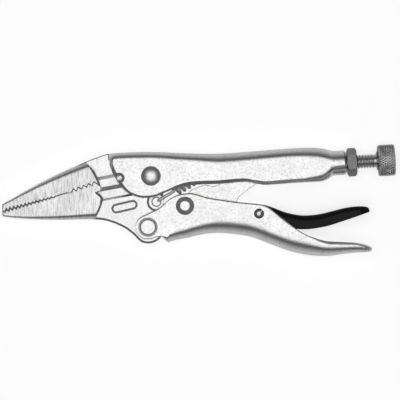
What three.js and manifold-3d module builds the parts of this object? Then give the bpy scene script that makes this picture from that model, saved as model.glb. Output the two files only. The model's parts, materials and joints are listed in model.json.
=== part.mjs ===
// Long-nose locking pliers of the 165 mm class: pressed-steel channel handles, forged jaws with a
// wire cutter, a toggle link, a release lever, and an adjusting screw with a lock nut and a knob.
//
// Millimetres. The pliers lie on their side: +X runs along them to the knob, +Y to the fixed
// handle and +Z through their thickness. The origin is the middle of their footprint.
import * as THREE from 'three';
import { mergeVertices } from 'three/addons/utils/BufferGeometryUtils.js';
import Module from 'manifold-3d';

const wasm = await Module();
wasm.setup();

// ---------------------------------------------------------------- driving dimensions

// Thickness stack, each measured from the mid-plane.
const HALF_STACK = 7.1; // to the top of the rivet heads, which is also the knob's radius
const JAW_HALF = 3; // jaw plates
const NOSE_HALF_BACK = 5.3; // raised nose where it meets the jaw plate
const NOSE_HALF_TIP = 1.9;
const LINK_HALF = 2.7;
const SHEET = 2.1; // handle sheet
const CHANNEL_INNER = 3.4; // inside face of a handle cheek
const CHANNEL_OUTER = CHANNEL_INNER + SHEET;
const CAVITY_END = 54; // upper handle's channel ends here and its tube begins
const TAIL_OUTER = 6.4; // lower handle where it widens for the palm
const GAP = 0.3; // between pieces that touch on the real tool
const RUNNING = 0.25; // radial clearance of a pivot
const THROUGH = 20; // half length of a tool that cuts right through

// Pivots.
const JAW_PIVOT = at(-21.5, 10.8);
const HANDLE_PIVOT = at(-22.8, -12.2);
const LINK_PIVOT = at(-6.2, -2.6);
const LEVER_PIVOT = at(27.1, -6.1);
const LINK_END = at(32.1, 14.8); // middle of the link's round end, which bears on the screw
const LINK_END_RADIUS = 2.9;
const LINK_END_TRAVEL = 2.3; // how far that end swings past its rest place as the handles open

// Rivets and the roll pin: radii.
const JAW_RIVET = { shank: 3, head: 4.4, flat: 1.6 };
const HANDLE_RIVET = { shank: 2.9, head: 4.35, flat: 3.1 };
const LINK_RIVET = { shank: 2.6, head: 4.1, flat: 2 };
const RIVET_HEAD_EDGE = 0.5; // height of the head's upright rim
const ROLL_PIN_OUTER = 2.25;
const ROLL_PIN_BORE = 0.9;
const ROLL_PIN_SLOT = 0.5;
const ROLL_PIN_HALF_LENGTH = 6;

// Jaws.
const TIP_X = -88.6;
const HUB_RADIUS = 8;
const HUB_SEAT = 8.35; // hollow in the fixed jaw that the hub turns in
const BOSS_RADIUS = 7.4;
const FINE_TEETH = { from: at(-87.4, -4.8), to: at(-66.5, 0.9), count: 12, depth: 0.8 };
const COARSE_TEETH = { from: at(-57.5, 3.7), to: at(-45.9, 8), count: 5, depth: 1.4 };
const CUTTER_FROM = at(-43.7, 4.8);
const CUTTER_TO = at(-29.2, 7.5);
const CUTTER_HALF_GAP = 0.45;
const CUTTER_NOTCH = { centre: at(-35.7, 9.9), radius: 2.4 };

// Spring: it runs from a hole in the lower jaw to a tab inside the upper handle.
const SPRING_HOLE = at(-19.1, -0.8);
const SPRING_HOLE_RADIUS = 1.75;
const SPRING_LOBE_RADIUS = 3.5;
const SPRING_LOBE_HALF = 1.3; // the lobe is thinned where the hook lies on it
const SPRING_ANCHOR = at(9.7, 16.5);
const SPRING_ANCHOR_RADIUS = 0.95;
const SPRING_TAB_HALF = 0.9;
const SPRING_OUTER = 2.85;
const SPRING_WIRE = 0.55;
const COIL_FROM = 10.4; // along the line from the hole to the anchor
const COIL_TO = 27;

// Screw: lengths run along its axis from the open end of the handle's tube.
const TUBE_END = at(66.4, 16.9);
const SCREW_TILT = THREE.MathUtils.degToRad(3.27);
const THREAD_RADIUS = 3.175; // 1/4 inch, 20 threads per inch
const THREAD_BORE = THREAD_RADIUS + GAP;
const TUBE_LENGTH = 9;
const TUBE_BORE_DEPTH = 14;
const TUBE_BEVEL = 0.8;
const NUT_FROM = 0.4;
const NUT_THICK = 4.4;
const NUT_ACROSS_FLATS = 11.11;
const KNOB_FROM = 14.4;
const KNOB_LENGTH = 7.6;
const KNOB_CHAMFER = 0.6;
const KNOB_BORE_DEPTH = 6;
const KNOB_COLLAR = { radius: 4.2, length: 0.7 };
const SCREW_NOSE = 1; // height of the domed tip

// Release lever.
const LEVER_HALF = 3.1;
const LEVER_TAIL_HALF = 4.6;
const LEVER_SHEET = 1.6;

// ---------------------------------------------------------------- outlines

function at(x, y) {
  return new THREE.Vector2(x, y);
}

// A smooth run through the given [x, y] places.
function curve(places, steps) {
  return new THREE.SplineCurve(places.map(([x, y]) => at(x, y))).getPoints(steps);
}

// An arc from one angle to another in degrees, clockwise where the second is smaller.
function arc(centre, radius, from, to, steps) {
  return Array.from({ length: steps + 1 }, (_, i) => {
    const angle = THREE.MathUtils.degToRad(from + ((to - from) * i) / steps);
    return at(centre.x + radius * Math.cos(angle), centre.y + radius * Math.sin(angle));
  });
}

function lines(places) {
  return places.map(([x, y]) => at(x, y));
}

function raised(points, by) {
  return points.map((p) => at(p.x, p.y + by));
}

// Pointed teeth along a line, half above it and half below.
function teeth({ from, to, count, depth }) {
  const along = to.clone().sub(from).divideScalar(2 * count);
  const across = at(-along.y, along.x).setLength(depth / 2);
  return Array.from({ length: 2 * count + 1 }, (_, i) =>
    from.clone().addScaledVector(along, i).addScaledVector(across, i % 2 ? 1 : -1));
}

// ---------------------------------------------------------------- solids

function solid(geometry) {
  geometry.deleteAttribute('normal');
  geometry.deleteAttribute('uv');
  const merged = mergeVertices(geometry);
  const corners = merged.index.array;
  const triangles = [];
  for (let i = 0; i < corners.length; i += 3) {
    const [a, b, c] = corners.slice(i, i + 3);
    if (a !== b && b !== c && c !== a) triangles.push(a, b, c);
  }
  return new wasm.Manifold(new wasm.Mesh({
    numProp: 3,
    vertProperties: new Float32Array(merged.attributes.position.array),
    triVerts: new Uint32Array(triangles),
  }));
}

// A side outline given thickness from one height to another.
function plate(outline, low, high) {
  const shape = new THREE.Shape(outline);
  const geometry = new THREE.ExtrudeGeometry(shape, { depth: high - low, bevelEnabled: false });
  return solid(geometry.translate(0, 0, low));
}

// A plan outline, its second coordinate through the thickness, carried right across the tool.
function prism(outline) {
  const shape = new THREE.Shape(outline);
  const geometry = new THREE.ExtrudeGeometry(shape, { depth: 4 * THROUGH, bevelEnabled: false });
  return solid(geometry.rotateX(Math.PI / 2).translate(0, 2 * THROUGH, 0));
}

// A plan outline that is symmetric about the mid-plane, from [x, half width] places.
function planOf(places) {
  const mirrored = places.map(([x, half]) => [x, -half]).reverse();
  return lines([...places, ...mirrored]);
}

function round(centre, radius, halfLength, segments = 28) {
  const geometry = new THREE.CylinderGeometry(radius, radius, 2 * halfLength, segments);
  return solid(geometry.rotateX(Math.PI / 2).translate(centre.x, centre.y, 0));
}

// A turned piece on the X axis from [along, radius] places that start and end on the axis.
function turned(places, segments = 28) {
  const profile = places.map(([along, radius]) => at(radius, along));
  return new THREE.LatheGeometry(profile, segments).rotateZ(-Math.PI / 2);
}

function onScrewAxis(geometry) {
  return geometry.rotateZ(SCREW_TILT).translate(TUBE_END.x, TUBE_END.y, 0);
}

function wire(places, radius) {
  const path = new THREE.CatmullRomCurve3(places, false, 'chordal');
  const section = new THREE.Shape().absarc(0, 0, radius, 0, 2 * Math.PI);
  return solid(new THREE.ExtrudeGeometry(section, {
    steps: 14, curveSegments: 4, extrudePath: path, bevelEnabled: false,
  }));
}

// ---------------------------------------------------------------- jaws

// Where the two jaws meet, from the tips to the cutter.
function parting() {
  return [
    at(TIP_X, -4.9),
    ...teeth(FINE_TEETH),
    ...teeth(COARSE_TEETH),
    at(-44.4, 6.3),
  ];
}

// The plan shape of both noses: they taper to the tips.
function noseTaper() {
  return prism(planOf([[TIP_X, NOSE_HALF_TIP], [-43, NOSE_HALF_BACK]]));
}

// A side outline as a jaw: a flat plate with a thicker nose in front of the given edge.
function jaw(outline, noseEdge) {
  const nose = plate(outline, -NOSE_HALF_BACK, NOSE_HALF_BACK)
    .intersect(plate(noseEdge, -THROUGH, THROUGH))
    .intersect(noseTaper());
  const behindTips = lines([[-62, -40], [10, -40], [10, 40], [-62, 40]]);
  const body = plate(outline, -JAW_HALF, JAW_HALF)
    .intersect(plate(behindTips, -THROUGH, THROUGH));
  return nose.add(body);
}

function fixedJaw() {
  const outline = [
    ...raised(parting(), GAP / 2),
    at(CUTTER_FROM.x, CUTTER_FROM.y + CUTTER_HALF_GAP),
    at(CUTTER_TO.x - 0.4, CUTTER_TO.y + CUTTER_HALF_GAP),
    ...arc(JAW_PIVOT, HUB_SEAT, 196, 130, 8),
    ...lines([[-27.6, 19.1], [-40.4, 18.4], [-40.4, 20.8]]),
    ...curve([[-42.4, 20.4], [-48.7, 18.1], [-55.9, 15.1], [-66.7, 10.1], [-77.5, 4.4],
      [-84.6, 0.3], [TIP_X, -1.9]], 15),
  ];
  const noseEdge = [
    ...lines([[-95, -30], [-95, 30], [-52.4, 30]]),
    ...curve([[-52, 16.2], [-47.2, 13.2], [-45, 8.8], [-43.6, 5.2]], 9),
    at(-43.6, -30),
  ];
  return jaw(outline, noseEdge);
}

function lowerJaw() {
  const outline = [
    ...raised(parting(), -GAP / 2),
    at(CUTTER_FROM.x, CUTTER_FROM.y - CUTTER_HALF_GAP),
    at(CUTTER_TO.x, CUTTER_TO.y - CUTTER_HALF_GAP),
    ...arc(JAW_PIVOT, HUB_RADIUS, 202, -45, 20),
    ...arc(SPRING_HOLE, SPRING_LOBE_RADIUS, 30, -60, 5),
    ...arc(HANDLE_PIVOT, BOSS_RADIUS, 20, -100, 12),
    ...curve([[-27.4, -17.7], [-29.2, -15.8], [-32.5, -13.2], [-36.1, -11.3], [-39.7, -9.9],
      [-43.5, -9], [-49, -8.6], [-61.3, -8.9], [-74, -8.7], [-83, -8.1], [-88.4, -7.4]], 24),
  ];
  const noseEdge = [
    ...lines([[-95, -30], [-95, 30], [-43.7, 30], [-43.7, 4.6], [-45.4, 3.3]]),
    ...curve([[-43.8, 2], [-43.1, 0.3], [-44.3, -3.9], [-46.8, -8.6]], 9),
    at(-46.8, -30),
  ];
  const thinning = round(SPRING_HOLE, SPRING_LOBE_RADIUS + 0.6, THROUGH)
    .subtract(round(SPRING_HOLE, SPRING_LOBE_RADIUS + 1, SPRING_LOBE_HALF));
  return jaw(outline, noseEdge)
    .subtract(thinning)
    .subtract(round(SPRING_HOLE, SPRING_HOLE_RADIUS, THROUGH))
    .subtract(round(JAW_PIVOT, JAW_RIVET.shank + RUNNING, THROUGH))
    .subtract(round(HANDLE_PIVOT, HANDLE_RIVET.shank + RUNNING, THROUGH));
}

// ---------------------------------------------------------------- upper handle

const UPPER_TOP = curve([[-40.1, 20.8], [-35, 21.3], [-26.3, 21.6], [-17.7, 21.6], [-9.1, 21.2],
  [0.6, 20.9], [12, 21], [29.3, 22.3], [40.7, 23.2], [49.3, 23.6], [55.1, 23.3],
  [59.8, 22.4]], 26);
const UPPER_BOTTOM = curve([[-40.1, 15.7], [-38.2, 11.1], [-35.2, 6.5], [-31.5, 3.1],
  [-26.2, 1.1], [-20.5, 1.3], [-15.8, 3.1], [-9.8, 5.4], [-4.7, 6.5], [0.6, 7], [9.1, 7.3],
  [17.8, 8.1], [21.8, 8.2], [27.6, 7.1], [31, 6.8], [43.6, 7.7], [52.2, 8.2], [56.5, 9.2],
  [59.8, 11.1]], 42);

function upperHandle() {
  const cavityTop = raised(UPPER_TOP.filter((p) => p.x < CAVITY_END), -SHEET);
  const cavity = [at(-60, 18.7), ...cavityTop, at(CAVITY_END, -THROUGH), at(-60, -THROUGH)];
  const tube = onScrewAxis(turned([[-TUBE_LENGTH, 0], [-TUBE_LENGTH, CHANNEL_OUTER],
    [-TUBE_BEVEL, CHANNEL_OUTER], [0, CHANNEL_OUTER - TUBE_BEVEL], [0, 0]]));
  const bore = onScrewAxis(turned([[-TUBE_BORE_DEPTH, 0], [-TUBE_BORE_DEPTH, THREAD_BORE],
    [5, THREAD_BORE], [5, 0]]));
  const tab = lines([[7.6, 20], [7.6, 15.6], [8.7, 14.6], [10.7, 14.6], [11.8, 15.6],
    [11.8, 20]]);
  return plate([...UPPER_TOP, ...UPPER_BOTTOM.toReversed()], -CHANNEL_OUTER, CHANNEL_OUTER)
    .add(solid(tube))
    .subtract(plate(cavity, -CHANNEL_INNER, CHANNEL_INNER))
    .subtract(solid(bore))
    .add(plate(tab, -SPRING_TAB_HALF, SPRING_TAB_HALF))
    .subtract(round(SPRING_ANCHOR, SPRING_ANCHOR_RADIUS, THROUGH / 8, 16))
    .subtract(round(CUTTER_NOTCH.centre, CUTTER_NOTCH.radius, THROUGH))
    .subtract(round(JAW_PIVOT, JAW_RIVET.shank + RUNNING, THROUGH));
}

// ---------------------------------------------------------------- lower handle

const LOWER_BOTTOM = curve([[-13.9, -19.2], [-10.8, -18.1], [-5.3, -17.1], [0.6, -15.7],
  [6.3, -14.9], [13.6, -15.1], [23.5, -16.6], [32.7, -20], [40.7, -22.9], [49.9, -24.9],
  [58, -25.2], [63.7, -24.3], [69.4, -23.5], [78, -22.9]], 34);
const LOWER_TOP = curve([[78.2, -21.8], [74, -20], [70, -19.3], [63.7, -19.1], [56.8, -18.6],
  [49.3, -16], [44.5, -13.4], [37.9, -8.6], [34.3, -5.6], [31.4, -3.4], [28.5, -2.1],
  [25, -1.6], [17.7, -0.9], [7.6, 0.5], [2.9, 1.4], [-2.5, 3], [-5.7, 3], [-9.6, 2.3],
  [-13.3, 0.4], [-15.4, -1.6], [-17.9, -3.7], [-20.7, -5], [-24.2, -6.7]], 50);
const EAR_RADIUS = 5.6;

// Half widths along the lower handle: it widens from the ears to the palm and ends rounded.
function lowerPlan(inset) {
  return planOf([[-40, CHANNEL_OUTER - inset], [8, CHANNEL_OUTER - inset],
    [30, TAIL_OUTER - 0.3 - inset], [48, TAIL_OUTER - inset], [70, TAIL_OUTER - inset],
    [75, 5.6 - inset], [78.6, 3.6 - inset]]);
}

function lowerHandle() {
  const outline = [...LOWER_BOTTOM, ...LOWER_TOP, ...arc(HANDLE_PIVOT, EAR_RADIUS, 120, 305, 14),
    at(-16.8, -16.3)];
  const spineInside = raised(LOWER_BOTTOM.slice(1), SHEET);
  const cavity = [...lines([[-15.9, -40], [-15.9, -16.4]]), ...spineInside,
    ...lines([[85, -20.8], [85, 20], [-60, 20], [-60, -40]])];
  return plate(outline, -TAIL_OUTER, TAIL_OUTER)
    .intersect(prism(lowerPlan(0)))
    .subtract(plate(cavity, -TAIL_OUTER, TAIL_OUTER).intersect(prism(lowerPlan(SHEET))))
    .subtract(round(HANDLE_PIVOT, HANDLE_RIVET.shank + RUNNING, THROUGH))
    .subtract(round(LINK_PIVOT, LINK_RIVET.shank + RUNNING, THROUGH))
    .subtract(round(LEVER_PIVOT, ROLL_PIN_OUTER + RUNNING, THROUGH));
}

// ---------------------------------------------------------------- link and lever

function toggleLink() {
  const outline = [
    ...arc(LINK_PIVOT, 4.9, 270, 84, 12),
    ...lines([[-3.1, 4.8], [2.7, 6.6]]),
    ...curve([[3.4, 6.3], [6.4, 5.6], [9.4, 7.2]], 4),
    ...lines([[10.2, 8.4]]),
    ...arc(LINK_END, LINK_END_RADIUS, 118, -50, 10),
    ...curve([[25.9, 7.2], [19.2, 2.5], [17.2, -0.6], [16.8, -2.4]], 6),
    ...lines([[9, -4.4], [0.6, -6.2]]),
  ];
  return plate(outline, -LINK_HALF, LINK_HALF)
    .subtract(round(LINK_PIVOT, LINK_RIVET.shank + RUNNING, THROUGH));
}

function releaseLever() {
  const top = curve([[16.4, -5.3], [20, -4.6], [24, -3.2], [27.1, -2.2], [29.3, -2.1],
    [32.7, -3.1], [37.9, -5.1], [41.9, -6.2], [46.5, -6.9], [50.5, -6.8], [55.1, -6.2],
    [60.8, -4.8], [66.6, -3.4], [72.3, -2.8], [75.7, -3.1], [76.9, -4.5]], 34);
  const bottom = curve([[76.6, -5.2], [69.4, -8], [63.7, -9.9], [58, -11.7], [52.2, -12.8],
    [48.2, -13.2], [44.8, -13.1], [38, -12.2], [31.5, -10.8], [27.1, -10]], 18);
  const plan = (inset) => planOf([[0, LEVER_HALF - inset], [46, LEVER_HALF - inset],
    [57, LEVER_TAIL_HALF - inset], [72, LEVER_TAIL_HALF - inset], [76, 3.6 - inset],
    [77.4, 2.6 - inset]]);
  const roofInside = raised(top, -LEVER_SHEET).slice(6);
  const hollow = [...lines([[23, -20], [23, -6]]), ...roofInside, at(90, -6.1), at(90, -20)];
  return plate([...top, ...bottom, at(20, -8.3), at(16.2, -6.8)], -LEVER_TAIL_HALF, LEVER_TAIL_HALF)
    .intersect(prism(plan(0)))
    .subtract(plate(hollow, -LEVER_TAIL_HALF, LEVER_TAIL_HALF).intersect(prism(plan(LEVER_SHEET))))
    .subtract(round(LEVER_PIVOT, ROLL_PIN_OUTER + RUNNING, THROUGH));
}

// ---------------------------------------------------------------- rivets, pin and spring

// A rivet with a low head on each side: flat in the middle, then rounded down to its rim.
function rivet(centre, { shank, head, flat }) {
  const seat = CHANNEL_OUTER + GAP;
  const half = [[HALF_STACK, 0], [HALF_STACK, flat], [HALF_STACK - 0.25, (flat + head) / 2],
    [seat + RIVET_HEAD_EDGE, head], [seat, head], [seat, shank]];
  const mirrored = half.map(([along, radius]) => [-along, radius]);
  const geometry = turned([...mirrored, ...half.toReversed()]);
  return solid(geometry.rotateY(-Math.PI / 2).translate(centre.x, centre.y, 0));
}

function rollPin() {
  const { x, y } = LEVER_PIVOT;
  const half = ROLL_PIN_SLOT / 2;
  const slot = lines([[x, y - half], [x + 5, y - half], [x + 5, y + half], [x, y + half]]);
  return round(LEVER_PIVOT, ROLL_PIN_OUTER, ROLL_PIN_HALF_LENGTH, 24)
    .subtract(round(LEVER_PIVOT, ROLL_PIN_BORE, THROUGH, 12))
    .subtract(plate(slot, -THROUGH, THROUGH));
}

// The extension spring as the solid that its coil fills, with a hook at each end.
function spring() {
  const run = SPRING_ANCHOR.clone().sub(SPRING_HOLE).normalize();
  const place = (along, height) => {
    const p = SPRING_HOLE.clone().addScaledVector(run, along);
    return new THREE.Vector3(p.x, p.y, height);
  };
  const reach = SPRING_ANCHOR.distanceTo(SPRING_HOLE);
  const lie = SPRING_OUTER - SPRING_WIRE;
  const coil = turned([[COIL_FROM, 0], [COIL_FROM, SPRING_OUTER], [COIL_TO, SPRING_OUTER],
    [COIL_TO, 0]], 20).rotateZ(run.angle()).translate(SPRING_HOLE.x, SPRING_HOLE.y, 0);
  const hooks = [[0, COIL_FROM + 1], [reach, COIL_TO - 1]].map(([end, start]) => wire([
    place(end, -1.4), place(end, 0.8), place(end + Math.sign(start - end) * 0.7, lie - 0.2),
    place(end + Math.sign(start - end) * 2, lie), place(start, lie)], SPRING_WIRE));
  return hooks.reduce((whole, hook) => whole.add(hook), solid(coil));
}

// ---------------------------------------------------------------- screw, nut and knob

function adjustingScrew() {
  const tip = LINK_END.x + LINK_END_RADIUS + LINK_END_TRAVEL - TUBE_END.x;
  const end = KNOB_FROM + KNOB_BORE_DEPTH - GAP;
  return solid(onScrewAxis(turned([[tip, 0], [tip, THREAD_RADIUS - SCREW_NOSE],
    [tip + SCREW_NOSE, THREAD_RADIUS], [end, THREAD_RADIUS], [end, 0]])));
}

// The nut stands with two flats level with the handle's cheeks.
function lockNut() {
  const corner = NUT_ACROSS_FLATS / Math.sqrt(3);
  const geometry = new THREE.CylinderGeometry(corner, corner, NUT_THICK, 6);
  geometry.rotateY(Math.PI / 6).rotateZ(-Math.PI / 2);
  geometry.translate(NUT_FROM + NUT_THICK / 2, 0, 0);
  const bore = turned([[-1, 0], [-1, THREAD_BORE], [9, THREAD_BORE], [9, 0]]);
  return solid(onScrewAxis(geometry)).subtract(solid(onScrewAxis(bore)));
}

function knurledKnob() {
  const rim = HALF_STACK - KNOB_CHAMFER;
  const end = KNOB_FROM + KNOB_LENGTH;
  const blank = turned([
    [KNOB_FROM - KNOB_COLLAR.length, 0], [KNOB_FROM - KNOB_COLLAR.length, KNOB_COLLAR.radius],
    [KNOB_FROM, KNOB_COLLAR.radius], [KNOB_FROM, rim], [KNOB_FROM + KNOB_CHAMFER, HALF_STACK],
    [end - KNOB_CHAMFER, HALF_STACK], [end, rim], [end, 0]], 36);
  const bore = turned([[0, 0], [0, THREAD_BORE],
    [KNOB_FROM + KNOB_BORE_DEPTH, THREAD_BORE], [KNOB_FROM + KNOB_BORE_DEPTH, 0]]);
  return solid(onScrewAxis(blank)).subtract(solid(onScrewAxis(bore)));
}

// ---------------------------------------------------------------- assembly

const satinPlate = { color: 0xd6d6d4, metalness: 0.9, roughness: 0.42 };
const brightPlate = { color: 0xdededc, metalness: 0.95, roughness: 0.25 };
const darkCoat = { color: 0x151516, metalness: 0.3, roughness: 0.25 };
const blackOxide = { color: 0x3a3a3c, metalness: 0.7, roughness: 0.5 };

const PIECES = [
  ['upper_handle', upperHandle, satinPlate],
  ['fixed_jaw', fixedJaw, satinPlate],
  ['lower_jaw', lowerJaw, satinPlate],
  ['lower_handle', lowerHandle, satinPlate],
  ['toggle_link', toggleLink, satinPlate],
  ['release_lever', releaseLever, darkCoat],
  ['jaw_pivot_rivet', () => rivet(JAW_PIVOT, JAW_RIVET), brightPlate],
  ['handle_pivot_rivet', () => rivet(HANDLE_PIVOT, HANDLE_RIVET), brightPlate],
  ['link_pivot_rivet', () => rivet(LINK_PIVOT, LINK_RIVET), brightPlate],
  ['lever_roll_pin', rollPin, blackOxide],
  ['return_spring', spring, brightPlate],
  ['adjusting_screw', adjustingScrew, brightPlate],
  ['lock_nut', lockNut, blackOxide],
  ['knurled_knob', knurledKnob, brightPlate],
];

const pliers = new THREE.Group();
for (const [name, build, finish] of PIECES) {
  const { vertProperties, triVerts } = build().getMesh();
  const geometry = new THREE.BufferGeometry();
  geometry.setAttribute('position', new THREE.BufferAttribute(vertProperties, 3));
  geometry.setIndex(new THREE.BufferAttribute(triVerts, 1));
  const mesh = new THREE.Mesh(geometry, new THREE.MeshStandardMaterial(finish));
  mesh.name = name;
  pliers.add(mesh);
}
pliers.position.z = HALF_STACK;

export default pliers;
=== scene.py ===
"""Long-nose locking pliers: the looks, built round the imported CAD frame.

Outlines are in millimetres in the CAD frame's x and y, with heights measured from the tool's
mid-plane; solid_from() turns them into metres and lifts them to the mid-plane.
"""

import json
import math

import bmesh
import bpy
import numpy as np
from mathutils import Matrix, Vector

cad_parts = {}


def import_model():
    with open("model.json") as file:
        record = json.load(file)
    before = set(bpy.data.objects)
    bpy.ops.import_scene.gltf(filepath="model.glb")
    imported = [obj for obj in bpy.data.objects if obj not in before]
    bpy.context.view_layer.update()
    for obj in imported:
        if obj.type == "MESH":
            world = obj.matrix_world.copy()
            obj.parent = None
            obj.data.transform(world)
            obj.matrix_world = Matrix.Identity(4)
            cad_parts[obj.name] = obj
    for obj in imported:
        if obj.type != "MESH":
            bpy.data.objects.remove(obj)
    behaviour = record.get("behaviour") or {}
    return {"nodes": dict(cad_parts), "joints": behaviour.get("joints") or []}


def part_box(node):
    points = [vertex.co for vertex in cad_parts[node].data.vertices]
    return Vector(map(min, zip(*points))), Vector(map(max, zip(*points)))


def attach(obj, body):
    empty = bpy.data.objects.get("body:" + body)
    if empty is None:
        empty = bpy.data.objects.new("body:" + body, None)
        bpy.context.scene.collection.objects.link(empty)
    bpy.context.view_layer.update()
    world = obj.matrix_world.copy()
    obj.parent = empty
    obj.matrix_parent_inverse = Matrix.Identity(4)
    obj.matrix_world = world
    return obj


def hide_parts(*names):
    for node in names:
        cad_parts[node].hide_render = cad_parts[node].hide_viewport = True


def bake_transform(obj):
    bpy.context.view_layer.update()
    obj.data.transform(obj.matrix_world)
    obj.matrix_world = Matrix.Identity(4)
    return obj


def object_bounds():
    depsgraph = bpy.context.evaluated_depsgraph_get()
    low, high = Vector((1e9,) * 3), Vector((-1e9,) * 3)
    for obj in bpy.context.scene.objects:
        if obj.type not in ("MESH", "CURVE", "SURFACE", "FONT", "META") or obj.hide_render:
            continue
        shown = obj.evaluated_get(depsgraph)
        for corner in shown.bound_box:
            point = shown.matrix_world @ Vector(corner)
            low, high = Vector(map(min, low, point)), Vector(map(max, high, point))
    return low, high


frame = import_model()
CAD_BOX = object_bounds()

MM = 0.001
LOW, HIGH = (np.array(corner) / MM for corner in CAD_BOX)
MID = (LOW[2] + HIGH[2]) / 2
HALF_STACK = (HIGH[2] - LOW[2]) / 2
JOINTS = {joint["name"]: joint for joint in frame["joints"]}


def joint_place(name):
    """A joint's x and y in millimetres."""
    return np.array(JOINTS[name]["pos_m"][:2]) / MM


def node_box(node):
    """A CAD node's lowest and highest corners in millimetres, heights from the mid-plane."""
    low, high = (np.array(corner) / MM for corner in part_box(node))
    return low - (0, 0, MID), high - (0, 0, MID)


JAW_PIVOT = joint_place("jaw_hinge")
HANDLE_PIVOT = joint_place("grip_hinge")
LINK_PIVOT = joint_place("link_hinge")
LEVER_PIVOT = joint_place("lever_hinge")
TUBE_END = joint_place("knob_spin")
SCREW_AXIS = np.array(JOINTS["knob_spin"]["axis"][:2])
ACROSS_AXIS = np.array([-SCREW_AXIS[1], SCREW_AXIS[0]])

# Thickness stack, from the mid-plane.
JAW_HALF = 3.0
LINK_HALF = 2.7
SHEET = 2.1
CHEEK_OUTER = 5.5
CHEEK_INNER = CHEEK_OUTER - SHEET

# A chamfer falls this much for each millimetre of its width.
CHAMFER_SLOPE = 0.5
# Half the length of a cutting tool that goes right through the pliers.
THROUGH = 20.0
# Running clearance of a bore round its rivet or pin, on the radius.
RUNNING = 0.25
# A small step that keeps two surfaces from coinciding.
PROUD = 0.02


# ---------------------------------------------------------------- outlines

def curve(places, per_span=5):
    """A smooth line through the given places."""
    places = np.array(places, float)
    padded = np.vstack([places[:1], places, places[-1:]])
    steps = np.arange(per_span)[:, None] / per_span
    runs = []
    for a, b, c, d in zip(padded, padded[1:], padded[2:], padded[3:]):
        out, back = (c - a) / 2, (d - b) / 2
        runs.append(b + out * steps + (3 * (c - b) - 2 * out - back) * steps**2
                    + (2 * (b - c) + out + back) * steps**3)
    return np.vstack([*runs, places[-1:]])


def arc(centre, radius, start, end, steps):
    """Points round a centre between two angles in degrees, both included."""
    angles = np.radians(np.linspace(start, end, steps + 1))
    return np.asarray(centre) + radius * np.column_stack([np.cos(angles), np.sin(angles)])


def height_at(outline, x):
    """The height of an outline that runs along X, at each x."""
    ordered = outline if outline[0][0] < outline[-1][0] else outline[::-1]
    return np.interp(x, ordered[:, 0], ordered[:, 1])


def profile(*places):
    """A function of x that runs straight between (x, value) places and is level past the ends."""
    along, values = np.array(places, float).T
    return lambda x: np.interp(x, along, values)


# ---------------------------------------------------------------- solids

def solid_from(name, points, faces):
    """A mesh object from millimetre places about the mid-plane."""
    mesh = bpy.data.meshes.new(name)
    mesh.from_pydata((np.asarray(points) + (0, 0, MID)) * MM, [], faces)
    made = bmesh.new()
    made.from_mesh(mesh)
    bmesh.ops.remove_doubles(made, verts=made.verts, dist=1e-7)
    bmesh.ops.recalc_face_normals(made, faces=made.faces)
    made.to_mesh(mesh)
    made.free()
    piece = bpy.data.objects.new(name, mesh)
    bpy.context.scene.collection.objects.link(piece)
    return piece


def stacked(name, rings, endless=False):
    """A solid through closed rings of the same count.

    It has a flat cap on the first and last ring, or joins them if it is endless.
    """
    count = len(rings[0])
    if endless:
        rings = [*rings, rings[0]]
    top = count * (len(rings) - 1)
    faces = [] if endless else [list(range(count))[::-1], list(range(top, top + count))]
    for low in range(0, top, count):
        for i in range(count):
            j = (i + 1) % count
            faces.append([low + i, low + j, low + count + j, low + count + i])
    return solid_from(name, np.vstack(rings), faces)


def inward(outline):
    """For each corner, the step that moves both of its sides inward by one.

    A very sharp corner's step is kept shorter than that.
    """
    ahead = np.roll(outline, -1, axis=0) - outline
    ahead /= np.linalg.norm(ahead, axis=1)[:, None]
    normal = np.column_stack([-ahead[:, 1], ahead[:, 0]])
    mitre = normal + np.roll(normal, 1, axis=0)
    mitre /= np.linalg.norm(mitre, axis=1)[:, None]
    sharpest = 0.45
    return mitre / np.maximum((mitre * normal).sum(axis=1), sharpest)[:, None]


def rounded_plate(name, outline, half, radius, steps, flat=0):
    """A plate about the mid-plane whose edges are rounded over.

    The outline runs anticlockwise. half, radius and flat are numbers, or values for each
    corner. Where flat is 1 the edge is a low chamfer, radius wide, in place of a round. steps
    is the number of bands in the edge.
    """
    half = np.broadcast_to(half, len(outline))
    radius = np.broadcast_to(radius, len(outline))
    flat = np.broadcast_to(flat, len(outline))
    drop = radius * (1 + (CHAMFER_SLOPE - 1) * flat)
    step = inward(outline)
    upper = []
    for part in np.linspace(0, 1, steps + 1):
        turn = part * math.pi / 2
        inset = radius * ((1 - flat) * (1 - math.cos(turn)) + flat * part)
        fall = drop * ((1 - flat) * (1 - math.sin(turn)) + flat * (1 - part))
        upper.append(np.column_stack([outline + step * inset[:, None], half - fall]))
    lower = [ring * (1, 1, -1) for ring in reversed(upper)]
    return stacked(name, lower + upper)


def prism(name, outline, low, high):
    """A straight-sided plate between two heights."""
    outline = np.asarray(outline, float)
    rings = [np.column_stack([outline, np.full(len(outline), z)]) for z in (low, high)]
    return stacked(name, rings)


def hole(centre, radius, half=THROUGH):
    """A drill along Z that reaches half its length to each side of the mid-plane."""
    return turned("hole", [(-half, 0), (-half, radius), (half, radius), (half, 0)],
                  (*centre, 0), (0, 0, 1))


def turned(name, places, origin, axis, segments=64):
    """A turned solid from (along, radius) places, of which the first and last lie on the axis.

    Its ends are flat: those two are level with their neighbours.
    """
    axis = Vector(axis).normalized()
    side = axis.orthogonal().normalized()
    other = axis.cross(side)
    rings = []
    for along, radius in places[1:-1]:
        angles = np.radians(np.arange(segments) * 360 / segments)
        spread = np.outer(np.cos(angles), side) + np.outer(np.sin(angles), other)
        rings.append(np.asarray(origin) + along * np.array(axis) + radius * spread)
    return stacked(name, rings)


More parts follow.
